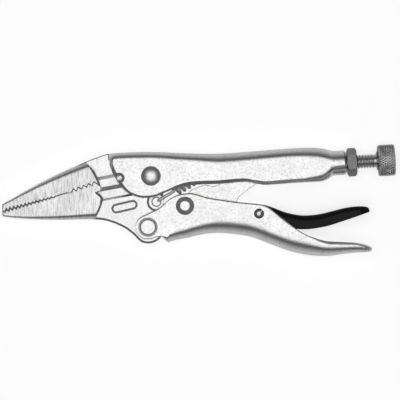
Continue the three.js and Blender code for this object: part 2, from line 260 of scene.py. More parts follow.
def combine(piece, *tools, how="DIFFERENCE"):
    """Joins the tools to the piece or cuts them from it, and removes them."""
    for tool in tools:
        step = piece.modifiers.new("combine", "BOOLEAN")
        step.operation = how
        step.solver = "EXACT"
        step.object = tool
        apply_modifiers(piece)
        bpy.data.objects.remove(tool)
    return piece


def apply_modifiers(piece):
    """Keeps the shape that the piece's modifiers give it, without the modifiers."""
    depsgraph = bpy.context.evaluated_depsgraph_get()
    piece.data = bpy.data.meshes.new_from_object(piece.evaluated_get(depsgraph))
    piece.modifiers.clear()


def smooth(piece):
    """Shades the piece smooth, but for its sharper edges."""
    sharpest_smooth = math.radians(22)
    piece.data.shade_smooth()
    piece.data.set_sharp_from_angle(angle=sharpest_smooth)
    step = piece.modifiers.new("weighted", "WEIGHTED_NORMAL")
    step.keep_sharp = True
    apply_modifiers(piece)
    return piece


# ---------------------------------------------------------------- pressed channels

def quarter(centre, radius, start, turn, steps=7):
    """A quarter turn of a section, from an angle in degrees, anticlockwise for turn 1."""
    return arc(centre, radius, start, start + 90 * turn, steps)


def channel_section(length, half, sheet, bend, curl, curl_depth, opening, flat):
    """A folded sheet's section: one closed ring of (rise from the open side, width) places.

    bend rounds the closed side. The open side is rounded over curl along the cheek and
    curl_depth across it, or chamfered where flat is 1. opening is half its gap. Each of them
    gives way where the section is too short or too narrow for it.
    """
    floor = min(sheet, 0.45 * length)
    bend = min(bend, 0.75 * length)
    bend_depth = min(bend, 0.97 * half)
    curl = min(curl, length - bend)
    wall = half - sheet
    lip = 0.12 * sheet
    curl_depth = min(curl_depth, half - opening - lip)
    inner_bend = min(max(bend - floor, 0.25 * floor), wall)
    inner_curl = min(max(curl - sheet, 0.25 * sheet), max(wall - opening, 0))
    rounded = quarter((1, 0), 1, 180, -1)
    chamfer = np.linspace((0, 0), (1, 1), len(rounded))
    edge = (1 - flat) * rounded + flat * chamfer
    outside = np.vstack([
        quarter((lip, opening + lip), lip, -90, -1, 3),
        (0, half - curl_depth) + edge * (curl, curl_depth),
        (length - bend, half - bend_depth)
        + quarter((0, 0), 1, 90, -1, 12) * (bend, bend_depth),
    ])
    inside = np.vstack([
        quarter((length - floor - inner_bend, wall - inner_bend), inner_bend, 0, 1),
        quarter((floor + inner_curl, wall - inner_curl), inner_curl, 90, 1),
        [(floor, opening)],
    ])
    mirror = (1, -1)
    return np.vstack([outside, (outside * mirror)[::-1], (inside * mirror)[::-1], inside])


def channel(name, edge, spine, **sizes):
    """A folded sheet between the places of its open edge and its spine, station by station."""
    sizes = {key: np.broadcast_to(value, len(edge)) for key, value in sizes.items()}
    rings = []
    for i, (low, high) in enumerate(zip(edge, spine)):
        length = np.linalg.norm(high - low)
        section = channel_section(length, **{key: value[i] for key, value in sizes.items()})
        flat = low + np.outer(section[:, 0], (high - low) / length)
        rings.append(np.column_stack([flat, section[:, 1]]))
    return stacked(name, rings)


# ---------------------------------------------------------------- sizes of rivets and bores

# shank and head are radii, flat is the radius of the head's level middle, and fall is how much
# lower its rim is. The higher rounding is, the later the head starts to fall.
RIVETS = {
    "jaw_pivot_rivet": {"centre": JAW_PIVOT, "shank": 3.0, "head": 4.4,
                        "flat": 0.4, "fall": 1.15, "rounding": 2.0},
    "handle_pivot_rivet": {"centre": HANDLE_PIVOT, "shank": 2.9, "head": 4.35,
                           "flat": 2.9, "fall": 0.95, "rounding": 1.6},
    "link_pivot_rivet": {"centre": LINK_PIVOT, "shank": 2.6, "head": 4.1,
                         "flat": 1.9, "fall": 0.95, "rounding": 1.1},
}
ROLL_PIN_OUTER = 2.25


def rivet_bore(node):
    return hole(RIVETS[node]["centre"], RIVETS[node]["shank"] + RUNNING)


# ---------------------------------------------------------------- upper handle

# How the section changes along the handle, as (x, size) places for channel_section().
HANDLE_FRONT = -40.1
HANDLE_BEND = profile((-40, 3.4), (-20, 3.5), (0, 4.2), (9, 5), (40, 4.7), (50, 5.1),
                      (60, CHEEK_OUTER))
HANDLE_CURL = profile((HANDLE_FRONT, 3.6), (-38, 3), (-35, 1.9), (-31, 1), (-14, 0.9), (-6, 1.6),
                      (14, 1.6), (24, 1.4), (30, 2.2), (48, 2.4), (55, 4), (61.2, CHEEK_OUTER))
HANDLE_CURL_DEPTH = profile((HANDLE_FRONT, 0.7), (-31, 0.5), (-14, 0.45), (-6, 0.75),
                            (24, 0.75), (30, 2), (48, 2.3), (55, 3), (61.2, CHEEK_OUTER))
HANDLE_SHEARED = profile((22, 1), (30, 0))
HANDLE_OPENING = profile((22, CHEEK_INNER), (30, 2.95), (44, 2.9), (53, 2.4), (61, 0.15))
CUTTER_NOTCH = (-35.7, 9.9)
NOTCH_RADIUS = 1.15
NOTCH_FLARE_RADIUS = 2.4
NOTCH_FLARE_DEPTH = 0.65
LOBE_END = -20
TUBE_START = -5
TUBE_BEVEL = 0.8
FRONT_BEVEL = 0.9
FRONT_BEVEL_WIDTH = 1.7
SPRING_TAB_HALF = 0.9
TAB_HOLE_RADIUS = 0.95


def beside_screw(along, across):
    """A place in the side view, measured along the screw from the tube's end and across it."""
    return TUBE_END + along * SCREW_AXIS + across * ACROSS_AXIS


def upper_handle():
    """A channel open below, which rolls into a tube at its rear end and holds the spring's tab."""
    tube = -3, -TUBE_BEVEL
    edge = np.vstack([
        curve([(HANDLE_FRONT, 15.7), (-38.2, 11.1), (-35.2, 6.5), (-31.5, 3.1), (-26.2, 1.1),
               (-20.5, 1.3), (-15.8, 3.1), (-9.8, 5.4), (-4.7, 6.5), (0.6, 7), (9.1, 7.3),
               (17.8, 8.1), (21.8, 8.2), (27.6, 7.1), (31, 6.8), (43.6, 7.7),
               (54.4, 8.3), (57.1, 8.9), (59.2, 10), (60.4, 11),
               beside_screw(TUBE_START, -CHEEK_OUTER)]),
        [beside_screw(a, -CHEEK_OUTER) for a in tube],
        [beside_screw(0, TUBE_BEVEL - CHEEK_OUTER)],
    ])
    top = np.vstack([
        curve([(HANDLE_FRONT, 20.8), (-35, 21.3), (-26.3, 21.6), (-17.7, 21.6), (-9.1, 21.2),
               (0.6, 20.9), (12, 21), (29.3, 22.3), (40.7, 23.2), (49.3, 23.6), (55.1, 23.3),
               (59.8, 22.2), beside_screw(TUBE_START, CHEEK_OUTER)]),
        [beside_screw(a, CHEEK_OUTER) for a in tube],
    ])
    x = edge[:, 0]
    # The sections fan out over the rounded front lobe. Towards the tube they lean, until they
    # stand square on the screw's axis.
    lobe = x < LOBE_END
    run = np.r_[0, np.cumsum(np.linalg.norm(np.diff(edge, axis=0), axis=1))]
    lean = profile((40, 0), (60, 2 * CHEEK_OUTER * ACROSS_AXIS[0]))
    spine_x = np.where(lobe, HANDLE_FRONT + (LOBE_END - HANDLE_FRONT) * run / run[lobe.sum()],
                       x + lean(x))
    spine = np.column_stack([spine_x, height_at(top, spine_x)])
    spine[-1] = beside_screw(0, CHEEK_OUTER - TUBE_BEVEL)
    front = np.clip(1 - (spine_x - spine_x[0]) / FRONT_BEVEL_WIDTH, 0, 1)
    half = CHEEK_OUTER - FRONT_BEVEL * front
    half[-1] -= TUBE_BEVEL
    sheet = np.full(len(x), SHEET)
    sheet[-1] -= TUBE_BEVEL
    shell = channel("upper_handle_shell", edge, spine, half=half, sheet=sheet,
                    bend=HANDLE_BEND(x), curl=HANDLE_CURL(x),
                    curl_depth=HANDLE_CURL_DEPTH(x), opening=HANDLE_OPENING(x),
                    flat=HANDLE_SHEARED(x))
    tab = prism("tab", [(7.6, 20), (7.6, 15.6), (8.7, 14.6), (10.7, 14.6), (11.8, 15.6),
                        (11.8, 20)], -SPRING_TAB_HALF, SPRING_TAB_HALF)
    combine(shell, tab, how="UNION")
    flare = [(CHEEK_OUTER - NOTCH_FLARE_DEPTH, NOTCH_RADIUS), (CHEEK_OUTER, NOTCH_FLARE_RADIUS),
             (THROUGH, NOTCH_FLARE_RADIUS), (THROUGH, 0)]
    notch = turned("notch", [*((-z, r) for z, r in reversed(flare)), *flare],
                   (*CUTTER_NOTCH, 0), (0, 0, 1))
    return combine(shell, hole(SPRING_ANCHOR, TAB_HOLE_RADIUS, JAW_HALF), notch,
                   rivet_bore("jaw_pivot_rivet"), *seam_grooves())


def seam_grooves():
    """Grooves in the tube's top face, where the edges of the rolled sheet show."""
    width, tube_left = 0.7, 4.7
    rolled_edge = curve([(58.6, 12.8), (59.4, 13.5), (60.8, 14.7), (62.4, 15.5), (67, 15.9)], 4)
    lines = [
        np.vstack([rolled_edge - (0, width), rolled_edge[::-1]]),
        np.array([(61.6, 13.5), (68, 13.6), (68, 14.2), (61.6, 14.1)]),
    ]
    core = [(-12, 0), (-12, tube_left), (5, tube_left), (5, 0)]
    return [combine(prism("groove", line, 0, 8),
                    turned("core", core, (*TUBE_END, 0), (*SCREW_AXIS, 0)))
            for line in lines]


# ---------------------------------------------------------------- lower handle

EAR_RADIUS = 5.6
PALM_SHEARED = profile((28, 1), (50, 0))
PALM_HALF = profile((8, 5.5), (30, 6.1), (48, 6.4), (68, 6.4), (72, 6.15), (75, 5.5),
                    (77, 4.4), (78.2, 3.2))
PALM_BEND = profile((-16.5, 0.5), (-13, 4.2), (-6, 5), (5, 6.2), (14, 7), (45, 6.8), (58, 6),
                    (70, 4.2), (78, 1))
PALM_CURL = profile((50, 0.6), (58, 1.6), (72, 1.6), (78, 0.6))
PALM_CURL_DEPTH = profile((28, 0.35), (50, 0.6), (58, 1.6), (72, 1.6), (78, 0.6))


def lower_handle():
    """A channel open above, whose front ears straddle the lower jaw."""
    below = np.vstack([
        arc(HANDLE_PIVOT, EAR_RADIUS, 195, 305, 24),
        [(-16.8, -16.3)],
        curve([(-13.9, -19.2), (-10.8, -18.1), (-5.3, -17.1), (0.6, -15.7), (6.3, -14.9),
               (13.6, -15.1), (23.5, -16.6), (32.7, -20), (40.7, -22.9), (49.9, -24.9),
               (58, -25.2), (63.7, -24.5), (69.4, -23.8), (74.5, -23.5), (77, -23.2),
               (77.8, -22.7), (78, -22.2)]),
    ])
    above = np.vstack([
        arc(HANDLE_PIVOT, EAR_RADIUS, 172, 120, 12),
        curve([(-24.2, -6.7), (-20.7, -5), (-17.9, -3.7), (-15.4, -1.6), (-13.3, 0.4),
               (-9.6, 2.3), (-5.7, 3), (-2.5, 3), (2.9, 1.4), (7.6, 0.5), (17.7, -0.9),
               (25, -1.6), (28.5, -2.1), (31.4, -3.4), (34.3, -5.6), (37.9, -8.6),
               (44.5, -13.4), (49.3, -16), (56.8, -18.4), (63.7, -18.9), (70, -19.2),
               (74, -19.8), (76.5, -20.6), (77.7, -21.3), (78, -21.9)]),
    ])
    ear_front = HANDLE_PIVOT[0] - EAR_RADIUS * np.cos(np.radians(np.arange(10, 80, 8)))
    x = np.r_[ear_front, np.arange(-21, -17, 1), -16.8, -15.8, -14.8, -13.9,
              np.arange(-13, 74, 1.25), np.arange(74.5, 77.6, 0.5), 77.7, 77.85, 77.95]
    edge = np.column_stack([x, height_at(above, x)])
    spine = np.column_stack([x, height_at(below, x)])
    half = PALM_HALF(x)
    closed_end = x > 76
    sheet = np.where(closed_end, half - 0.4, SHEET)
    shell = channel("lower_handle_shell", edge, spine, half=half, sheet=sheet,
                    bend=PALM_BEND(x), curl=PALM_CURL(x), curl_depth=PALM_CURL_DEPTH(x),
                    opening=half - sheet, flat=PALM_SHEARED(x))
    web = [(-40, -40), (-15.9, -40), (-15.9, 10), (-40, 10)]
    web_half = CHEEK_INNER + PROUD
    return combine(shell, prism("web", web, -web_half, web_half),
                   rivet_bore("handle_pivot_rivet"),
                   rivet_bore("link_pivot_rivet"),
                   hole(LEVER_PIVOT, ROLL_PIN_OUTER + PROUD))


# ---------------------------------------------------------------- release lever and link

LEVER_SHEET = 1.6
LEVER_HALF = profile((44, 3.1), (57, 4.6), (71, 4.6), (74.5, 4.1), (76.8, 2.7))
LEVER_BEND = profile((40, 2.9), (58, 3), (76, 1.8))
LEVER_CURL = 0.45
LINK_EYE_RADIUS = 4.9
LINK_END = (32.1, 14.8)
LINK_END_RADIUS = 2.9
LINK_EDGE = 0.35


def release_lever():
    """A slim channel open below, pinned between the lower handle's cheeks."""
    above = curve([(16.4, -5.3), (20, -4.6), (24, -3.2), (27.1, -2.2), (29.3, -2.1),
                   (32.7, -3.1), (37.9, -5.1), (41.9, -6.2), (46.5, -6.9), (50.5, -6.8),
                   (55.1, -6.2), (60.8, -4.8), (66.6, -3.4), (72.3, -2.8), (75.7, -3.1),
                   (76.9, -4.2)])
    below = curve([(16.2, -6.8), (20, -8.3), (27.1, -10), (31.5, -10.8), (38, -12.2),
                   (44.8, -13.1), (48.2, -13.2), (52.2, -12.8), (58, -11.7), (63.7, -9.9),
                   (69.4, -8), (77, -5.3)])
    x = np.r_[np.arange(16.5, 75, 1.25), np.arange(75.2, 76.9, 0.4), 76.85]
    edge = np.column_stack([x, height_at(below, x)])
    spine = np.column_stack([x, height_at(above, x)])
    half = LEVER_HALF(x)
    closed_end = x > 75.5
    sheet = np.where(closed_end, half - 0.3, LEVER_SHEET)
    stamping = channel("release_lever_stamping", edge, spine, half=half, sheet=sheet,
                       bend=LEVER_BEND(x), curl=LEVER_CURL, curl_depth=LEVER_CURL,
                       opening=half - sheet, flat=0)
    return combine(stamping, hole(LEVER_PIVOT, ROLL_PIN_OUTER + RUNNING))


def toggle_link():
    """A flat link from the lower handle to the adjusting screw's tip."""
    outline = np.vstack([
        arc(LINK_PIVOT, LINK_EYE_RADIUS, 84, 270, 20),
        [(0.6, -6.2), (9, -4.4)],
        curve([(16.8, -2.4), (17.2, -0.6), (19.2, 2.5), (25.9, 7.2),
               *arc(LINK_END, LINK_END_RADIUS, -50, 118, 8)], 3),
        curve([(10.2, 8.4), (9.6, 7.5), (8.3, 6.6), (6.2, 6.2), (4, 6.6), (2.9, 6.9)], 3),
        [(-3.1, 4.8)],
    ])
    plate = rounded_plate("toggle_link_plate", outline, LINK_HALF, LINK_EDGE, 3)
    return combine(plate, rivet_bore("link_pivot_rivet"))


# ---------------------------------------------------------------- jaws

TIP_X = -88.6
TIP_HALF = 1.9
NOSE_TAPER = 0.0746
JAW_GAP = 0.14
BACK_BEVEL = 1.1
TOOTH_EDGE = profile((TIP_X, 0.42), (-66, 0.28), (-57, 0.2))
HUB_RADIUS = 8.0
HUB_CLEARANCE = 0.35
BOSS_RADIUS = 7.4
CUTTER_FROM = np.array([-43.7, 4.8])
CUTTER_TO = np.array([-29.2, 7.5])
CUTTER_HALF_GAP = 0.01
SPRING_HOLE = np.array([-19.1, -0.8])
SPRING_HOLE_RADIUS = 1.75
SPRING_LOBE_RADIUS = 3.5
SPRING_ANCHOR = np.array([9.7, 16.5])


def nose_half(x):
    """Half the noses' thickness, which grows evenly from the tips."""
    return TIP_HALF + NOSE_TAPER * (np.asarray(x) - TIP_X)


def teeth(start, end, count, first_depth, last_depth):
    """Pointed teeth along a line, half above it and half below."""
    start, end = np.array(start), np.array(end)
    step = (end - start) / (2 * count)
    across = np.array([-step[1], step[0]]) / np.linalg.norm(step) / 2
    depths = np.linspace(first_depth, last_depth, 2 * count + 1)
    return [start + i * step + across * (depth if i % 2 else -depth)
            for i, depth in enumerate(depths)]


def parting():
    """Where the two jaws meet, from the tips to the cutter."""
    return np.array([(TIP_X, -4.9), *teeth((-87.4, -4.8), (-65.4, 1.3), 13, 1.3, 0.6),
                     (-64.6, 1.6), (-59, 3.3), *teeth((-57.5, 3.9), (-45.9, 8), 5, 1.4, 1.4),
                     (-44.4, 6.3)])


def cutter_pocket(side, floor, wall):
    """The hollows behind a cutting edge, one on each face of the jaw.

    Each is a steep grind at the edge, a shallow bevel behind it and a steep wall. side is 1 for
    the fixed jaw and -1 for the lower one. floor is how far from the edge the bevel ends, and
    wall is how far the wall leans out.
    """
    along = (CUTTER_TO - CUTTER_FROM) / np.linalg.norm(CUTTER_TO - CUTTER_FROM)
    across = side * np.array([-along[1], along[0]])
    edge_half, grind, grind_half, floor_half = 0.9, 0.9, 1.4, 1.65
    outside, above = -2, 5
    section = [(outside, edge_half), (CUTTER_HALF_GAP, edge_half), (grind, grind_half),
               (floor, floor_half), (floor + wall, JAW_HALF + PROUD), (floor + wall, above),
               (outside, above)]
    ends = [CUTTER_FROM - 4 * along, CUTTER_TO - 1.5 * along]
    pockets = []
    for face in (1, -1):
        rings = [[(*(end + across * v), face * z) for v, z in section] for end in ends]
        pockets.append(stacked("pocket", np.array(rings)))
    return pockets


def nose_plate(outline, rounding, flat, trim_outline, trim_width):
    """A tapering nose whose back edge is cut by a second plate with its own chamfer."""
    trim_over = 0.05
    nose = rounded_plate("nose", outline, nose_half(outline[:, 0]), rounding, 6, flat)
    trim = rounded_plate("trim", trim_outline, nose_half(trim_outline[:, 0]) + trim_over,
                         trim_width, 1, 1)
    return combine(nose, trim, how="INTERSECT")


def jaw(name, nose, body_outline, body_edge, pockets):
    """A flat jaw plate joined to its thicker, tapering nose."""
    plate = rounded_plate(name, body_outline, JAW_HALF, body_edge, 1, 1)
    combine(plate, *pockets)
    return combine(plate, nose, how="UNION")


def fixed_jaw():
    """The upper nose and the flat root that sits in the front of the upper handle."""
    biting = parting() + (0, JAW_GAP / 2)
    top = curve([(-46, 19.8), (-52, 16.8), (-55.9, 15.1), (-66.7, 10.1), (-77.5, 4.4),
                 (-84.6, 0.3), (TIP_X, -1.9)])
    outline = np.vstack([biting, [(-41, 5.6)], top])
    rounding = np.concatenate([
        TOOTH_EDGE(biting[:, 0]), [0.2],
        profile((TIP_X, 0.8), (-80, 1.4), (-66, 2.4), (-56, 3.2), (-48, 3.8))(top[:, 0])])
    flat = np.concatenate([np.ones(len(biting) + 1), np.zeros(len(top))])
    back = np.vstack([
        curve([(-43.9, 5.6), (-45, 8.8), (-47.2, 13.2), (-50.6, 16.6), (-53.5, 18.6)]),
        [(-95, 21), (-95, -9), (-44, -9)]])
    nose = nose_plate(outline, rounding, flat, back, BACK_BEVEL)
    body = np.vstack([
        [(-46.5, 9), (-44.6, 7.4), CUTTER_FROM + (0, CUTTER_HALF_GAP),
         CUTTER_TO + (-0.4, CUTTER_HALF_GAP)],
        arc(JAW_PIVOT, HUB_RADIUS + HUB_CLEARANCE, 196, 130, 12),
        [(-27.6, 19.1), (-40.4, 18.4), (-40.4, 20.8)],
        curve([(-42.4, 20.4), (-48.7, 18.1), (-54, 15.7)], 4),
    ])
    return jaw("fixed_jaw_forging", nose, body, 0.4, cutter_pocket(1, floor=4.3, wall=1.5))


def lower_jaw():
    """The lower nose, the hub, the spring's lobe and the boss that carries the lower handle."""
    biting = (parting() - (0, JAW_GAP / 2))[::-1]
    bottom = curve([(-88.4, -7.4), (-83, -8.1), (-74, -8.7), (-61.3, -8.9), (-49, -8.6),
                    (-40, -8.5)])
    outline = np.vstack([bottom, [(-40, 5)], biting])
    rounding = np.concatenate([
        profile((TIP_X, 0.7), (-78, 1.3), (-61, 2.3), (-47, 3.1))(bottom[:, 0]), [0.2],
        TOOTH_EDGE(biting[:, 0])])
    flat = np.concatenate([np.zeros(len(bottom)), np.ones(1 + len(biting))])
    back = np.vstack([
        [(-95, -12), (-48.6, -12)],
        curve([(-46.6, -8.5), (-44.3, -3.9), (-43.1, 0.3), (-43.8, 2), (-45.4, 3.3)]),
        [(-43.9, 4.4), (-44.2, 6.4), (-46, 12), (-95, 12)]])
    trim_width = np.full(len(back), BACK_BEVEL)
    beside_cutter = slice(-4, None)
    trim_width[beside_cutter] = 0.3
    nose = nose_plate(outline, rounding, flat, back, trim_width)
    body = np.vstack([
        [(-45.5, 2.6), (-52, -2), (-52, -8.5)],
        curve([(-49, -8.6), (-43.5, -9), (-39.7, -9.9), (-36.1, -11.3), (-32.5, -13.2),
               (-29.2, -15.8), (-27.4, -17.7)]),
        arc(HANDLE_PIVOT, BOSS_RADIUS, -115, 20, 26),
        arc(SPRING_HOLE, SPRING_LOBE_RADIUS, -60, 30, 14),
        arc(JAW_PIVOT, HUB_RADIUS, -45, 202, 50),
        [CUTTER_TO - (0, CUTTER_HALF_GAP), CUTTER_FROM - (0, CUTTER_HALF_GAP)],
    ])
    forging = jaw("lower_jaw_forging", nose, body, 0.95, cutter_pocket(-1, floor=4.3, wall=1.0))
    # The lobe is spot faced to a thinner eye round the spring's hole, as (height, radius) places.
    sides = [(1.0, 0), (1.0, SPRING_HOLE_RADIUS), (1.25, 2.25), (1.25, 3.3), (2.55, 3.4),
             (3.05, 4.4), (9, 4.4), (9, 0)]
    thinning = [turned("thinning", sides, (*SPRING_HOLE, 0), (0, 0, face)) for face in (1, -1)]
    return combine(forging, *thinning, hole(SPRING_HOLE, SPRING_HOLE_RADIUS), *stamp_grooves(),
                   rivet_bore("jaw_pivot_rivet"),
                   rivet_bore("handle_pivot_rivet"))


def stamp_grooves():
    """A plain oval frame pressed into each face of the lower jaw, as a groove with low sides."""
    centre, tilt = np.array([-33.4, -3.0]), math.radians(13)
    half_length, half_width = 6.1, 2.3
    width, depth, proud = 1.15, 0.3, 0.05
    turn = np.array([(math.cos(tilt), math.sin(tilt)), (-math.sin(tilt), math.cos(tilt))])

    def oval(inset, height):
        end = half_length - half_width
        places = np.vstack([arc((end, 0), half_width - inset, -90, 90, 14),
                            arc((-end, 0), half_width - inset, 90, 270, 14)])
        return np.column_stack([centre + places @ turn, np.full(len(places), height)])

    return [stacked("groove", [oval(0, face * (JAW_HALF + proud)),
                               oval(width / 2, face * (JAW_HALF - depth)),
                               oval(width, face * (JAW_HALF + proud))], endless=True)
            for face in (1, -1)]


# ---------------------------------------------------------------- rivets, pin and spring

def rivet(node):
    """A shank between two domed heads that stand on the handle's cheeks."""
    size = RIVETS[node]
    seat = CHEEK_OUTER + PROUD
    reach = size["head"] - size["flat"]
    steps = np.linspace(0, 1, 9)
    dome = [(HALF_STACK - size["fall"] * t ** size["rounding"], size["flat"] + reach * t)
            for t in steps]
    half = [(HALF_STACK, 0), *dome, (seat, size["head"]), (seat, size["shank"])]
    other = [(-along, radius) for along, radius in half]
    return turned(node + "_domed", [*other, *half[::-1]], (*size["centre"], 0), (0, 0, 1), 72)


def roll_pin():
    """A hollow pin of rolled sheet, with a slot along one side and bevelled ends."""
    half = node_box("lever_roll_pin")[1][2]
    outer, bore, bevel = ROLL_PIN_OUTER, 0.9, 0.45
    sides = [(-half, 0), (-half, outer - bevel), (bevel - half, outer),
             (half - bevel, outer), (half, outer - bevel), (half, 0)]
    pin = turned("lever_roll_pin_slotted", sides, (*LEVER_PIVOT, 0), (0, 0, 1), 48)
    slot_turn, slot_width, slot_reach = math.radians(45), 0.4, 5
    ahead = np.array([math.cos(slot_turn), math.sin(slot_turn)])
    aside = slot_width / 2 * np.array([-ahead[1], ahead[0]])
    outside = LEVER_PIVOT + slot_reach * ahead
    slot = prism("slot", [LEVER_PIVOT - aside, outside - aside, outside + aside,
                          LEVER_PIVOT + aside], -THROUGH, THROUGH)
    return combine(pin, hole(LEVER_PIVOT, bore), slot)


def swept(name, path, radius, sides=20):
    """A round wire along a path, with no twist between its sections."""
    path = np.asarray(path)
    ahead = np.gradient(path, axis=0)
    ahead /= np.linalg.norm(ahead, axis=1)[:, None]
    side = np.cross(ahead[0], (0, 0, 1))
    angles = np.radians(np.arange(sides) * 360 / sides)
    rings = []
    for place, way in zip(path, ahead):
        side = side - way * (side @ way)
        side /= np.linalg.norm(side)
        other = np.cross(way, side)
        rings.append(place + radius * (np.outer(np.cos(angles), side)
                                       + np.outer(np.sin(angles), other)))
    return stacked(name, rings)


def return_spring():
    """A coil between two hooks that drop into the lower jaw's eye and the handle's tab."""
    wire_radius, coil_radius = 0.72, 2.17
    start, end, turns, steps_per_turn = 9.4, 26.4, 7, 28
    reach = np.linalg.norm(SPRING_ANCHOR - SPRING_HOLE)
    run = np.array([*((SPRING_ANCHOR - SPRING_HOLE) / reach), 0])
    across = np.array([-run[1], run[0], 0])
    up = np.array([0, 0, 1])
    origin = np.array([*SPRING_HOLE, 0])

    def hook(foot, towards, coil):
        """From its foot in the hole, up and over towards the coil, whose end is at coil."""
        straight = coil - 1.5 * towards
        places = [(foot, -1.5), (foot, 0.2), (foot + 0.25 * towards, 1.4), (foot + towards, 2.1),
                  (straight, 2.2)]
        return curve([origin + run * along + up * height for along, height in places], 6)

    phase = np.linspace(0, 1, turns * steps_per_turn + 1)
    angle = 2 * math.pi * turns * phase
    helix = [origin + run * along + coil_radius * (math.cos(turn) * up + math.sin(turn) * across)
             for along, turn in zip(start + (end - start) * phase, angle)]
    wire = np.vstack([hook(1.1, 1, start), helix, hook(reach, -1, end)[::-1]])
    return swept("return_spring_coil", wire, wire_radius)


# ---------------------------------------------------------------- screw, nut and knob

THREAD_RADIUS = 3.175
PITCH = 1.27
NUT_FROM = 0.4
NUT_THICK = 4.4
NUT_FLATS = 11.11
KNOB_FROM = 14.4
KNOB_LENGTH = 7.6


def round_grid(name, along, radius_at, segments):
    """A closed turned piece on the screw's axis whose radius also varies round it."""
    axis = np.array([*SCREW_AXIS, 0])
    across = np.array([*ACROSS_AXIS, 0])
    up = np.array([0, 0, 1])
    angles = np.radians(np.arange(segments) * 360 / segments)
    around = np.outer(np.cos(angles), across) + np.outer(np.sin(angles), up)
    origin = np.array([*TUBE_END, 0])
    rings = [origin + a * axis + radius_at(a, angles)[:, None] * around for a in along]
    return stacked(name, rings)


def adjusting_screw():
    """Rolled right-hand thread with a domed tip and a plain neck below the knob."""
    tip_x = node_box("adjusting_screw")[0][0]
    start = (tip_x - TUBE_END[0]) / SCREW_AXIS[0] + 0.2
    neck, run_out, neck_cut = KNOB_FROM - 1.6, 0.8, 0.25
    groove_depth, tip_size, tip_length = 0.62, 0.45, 2.2

    def radius_at(along, angles):
        phase = (along / PITCH - angles / (2 * math.pi)) % 1
        groove = np.clip(1.25 - 2.9 * np.abs(phase - 0.5), 0, 1)
        thread = np.clip((neck - along) / run_out, 0, 1)
        tip = min(1, tip_size + (along - start) / tip_length)
        return THREAD_RADIUS * tip - groove_depth * groove * thread - neck_cut * (1 - thread)

    places = np.r_[np.arange(start, neck + run_out, PITCH / 12), KNOB_FROM + 0.5]
    return round_grid("adjusting_screw_thread", places, radius_at, 40)


def on_axis(name, places, segments):
    """A solid turned about the screw's axis, from (along, radius) places."""
    return turned(name, places, (*TUBE_END, 0), (*SCREW_AXIS, 0), segments)


def lock_nut():
    """A hexagon whose corners are turned down on both faces."""
    corner = NUT_FLATS / math.sqrt(3)
    end = NUT_FROM + NUT_THICK
    bevel, face_radius, over_corner = 0.75, NUT_FLATS / 2 - 0.1, corner + 0.05
    bore_radius = THREAD_RADIUS + 0.025
    hexagon = round_grid("lock_nut_chamfered", (NUT_FROM, end),
                         lambda along, angles: np.full(len(angles), corner), 6)
    blank = on_axis("blank", [(NUT_FROM, 0), (NUT_FROM, face_radius),
                              (NUT_FROM + bevel, over_corner), (end - bevel, over_corner),
                              (end, face_radius), (end, 0)], 96)
    bore = on_axis("bore", [(-2, 0), (-2, bore_radius), (9, bore_radius), (9, 0)], 48)
    combine(hexagon, blank, how="INTERSECT")
    return combine(hexagon, bore)


def knurled_knob():
    """A diamond knurl between two chamfers, with dished ends and a collar on the nut's side."""
    rim = HALF_STACK
    chamfer, half_chamfer = 0.6, 0.35
    diamonds, lead, steps_per_diamond = 40, 2.05, 8
    knurl_depth, knurl_run_out = 0.4, 0.3
    start, end = KNOB_FROM, KNOB_FROM + KNOB_LENGTH

    def radius_at(along, angles):
        inside = min(along - start, end - along)
        round_it = diamonds * angles / (2 * math.pi)
        one = np.abs((round_it + along / lead) % 1 - 0.5)
        two = np.abs((round_it - along / lead) % 1 - 0.5)
        groove = np.clip(2 * np.maximum(one, two) - 0.3, 0, 1) / 0.7
        knurl = np.clip((inside - half_chamfer) / knurl_run_out, 0, 1)
        return rim - max(0, chamfer - inside) - knurl_depth * groove * knurl

    places = np.r_[start, start + half_chamfer, np.linspace(start + chamfer, end - chamfer, 52),
                   end - half_chamfer, end]
    knob = round_grid("knurled_knob_diamond", places, radius_at, diamonds * steps_per_diamond)
    recess = on_axis("recess", [(start - 1, 0), (start - 1, 5.6), (start + 0.7, 5.2),
                                (start + 0.7, 0)], 72)
    collar = on_axis("collar", [(start - 0.7, 0), (start - 0.7, 3.9), (start - 0.4, 4.2),
                                (start + 1, 4.2), (start + 1, 0)], 60)
    dish = on_axis("dish", [(end - 0.5, 0), (end - 0.5, 4.4), (end + 1, 5.4), (end + 1, 0)], 72)
    combine(knob, recess, dish)
    return combine(knob, collar, how="UNION")


# ---------------------------------------------------------------- materials

